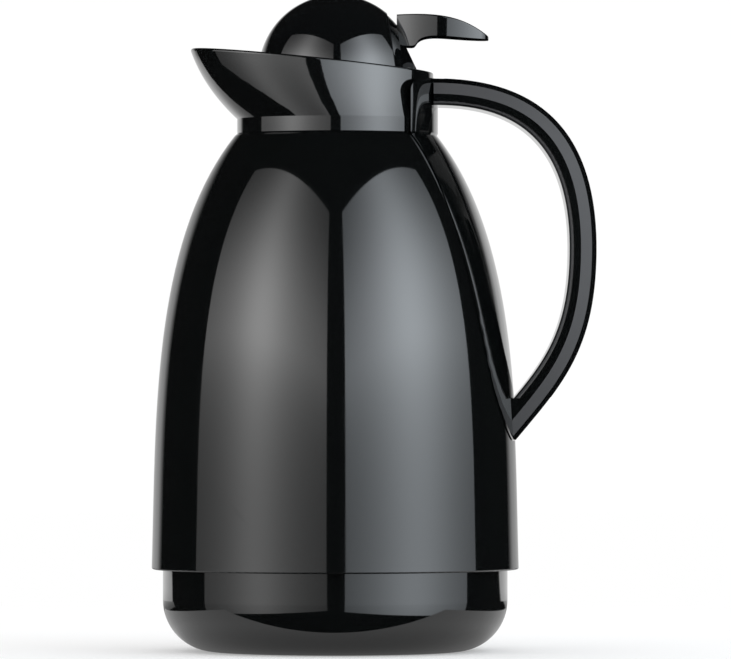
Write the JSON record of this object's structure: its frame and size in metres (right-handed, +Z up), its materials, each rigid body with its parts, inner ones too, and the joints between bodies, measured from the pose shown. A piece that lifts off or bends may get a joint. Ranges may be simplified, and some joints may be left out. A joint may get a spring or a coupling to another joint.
{
  "type": "thermal carafe with flip lid",
  "caption": "Glass-lined insulated carafe with a bell-shaped body, slanted pouring collar, domed flip lid with thumb lever, and a loop handle.",
  "frame": {"origin": "centre of the base, on the surface the carafe stands on", "axes": "+Z up along the body's axis, +X towards the handle, -X towards the spout"},
  "size_m": [0.182, 0.1504, 0.2689],
  "materials": {
    "gloss_black": "polished moulding",
    "lid_black": "polished moulding",
    "satin_black": "fine satin",
    "silvered_glass": "silvered on the vacuum side",
    "steel": "drawn wire",
    "grey_rubber": "matt",
    "spacer_felt": "matt pad"
  },
  "bodies": {
    "carafe": {"outer_shell": "gloss_black", "base_cup": "gloss_black", "liner_outer_flask": "silvered_glass", "liner_inner_flask": "silvered_glass", "liner_spacers": "spacer_felt", "liner_cushion": "grey_rubber", "neck_gasket": "grey_rubber", "spout_collar": "gloss_black", "handle_saddle": "gloss_black", "handle_grip": "gloss_black", "handle_cover": "gloss_black", "handle_screws": "steel"},
    "seal_ring": {"stopper_seal": "grey_rubber"},
    "stopper": {"stopper_body": "satin_black", "hinge_pin": "steel", "lid_spring": "steel"},
    "lid": {"lid_dome": "lid_black", "lid_plug": "satin_black", "pour_seal": "grey_rubber", "lid_screws": "steel", "thumb_lever": "lid_black"}
  },
  "joints": [
    {"name": "stopper_lift", "type": "slide", "parent": "carafe", "child": "seal_ring", "axis": [0, 0, 1], "range_m": [0, 0.004]},
    {"name": "stopper_turn", "type": "hinge", "parent": "seal_ring", "child": "stopper", "pos_m": [0, 0, 0.2253], "axis": [0, 0, 1], "range_deg": [0, 120]},
    {"name": "lid_flip", "type": "hinge", "parent": "stopper", "child": "lid", "pos_m": [0.03, 0, 0.2374], "axis": [0, 1, 0], "range_deg": [0, 26], "stiffness_Nm_per_rad": 0.05, "springref_deg": -34.38, "deforming": ["lid_spring"]}
  ],
  "couplings": [
    {"joint": "stopper_lift", "follows": "stopper_turn", "m_per_rad": 0.0019}
  ]
}
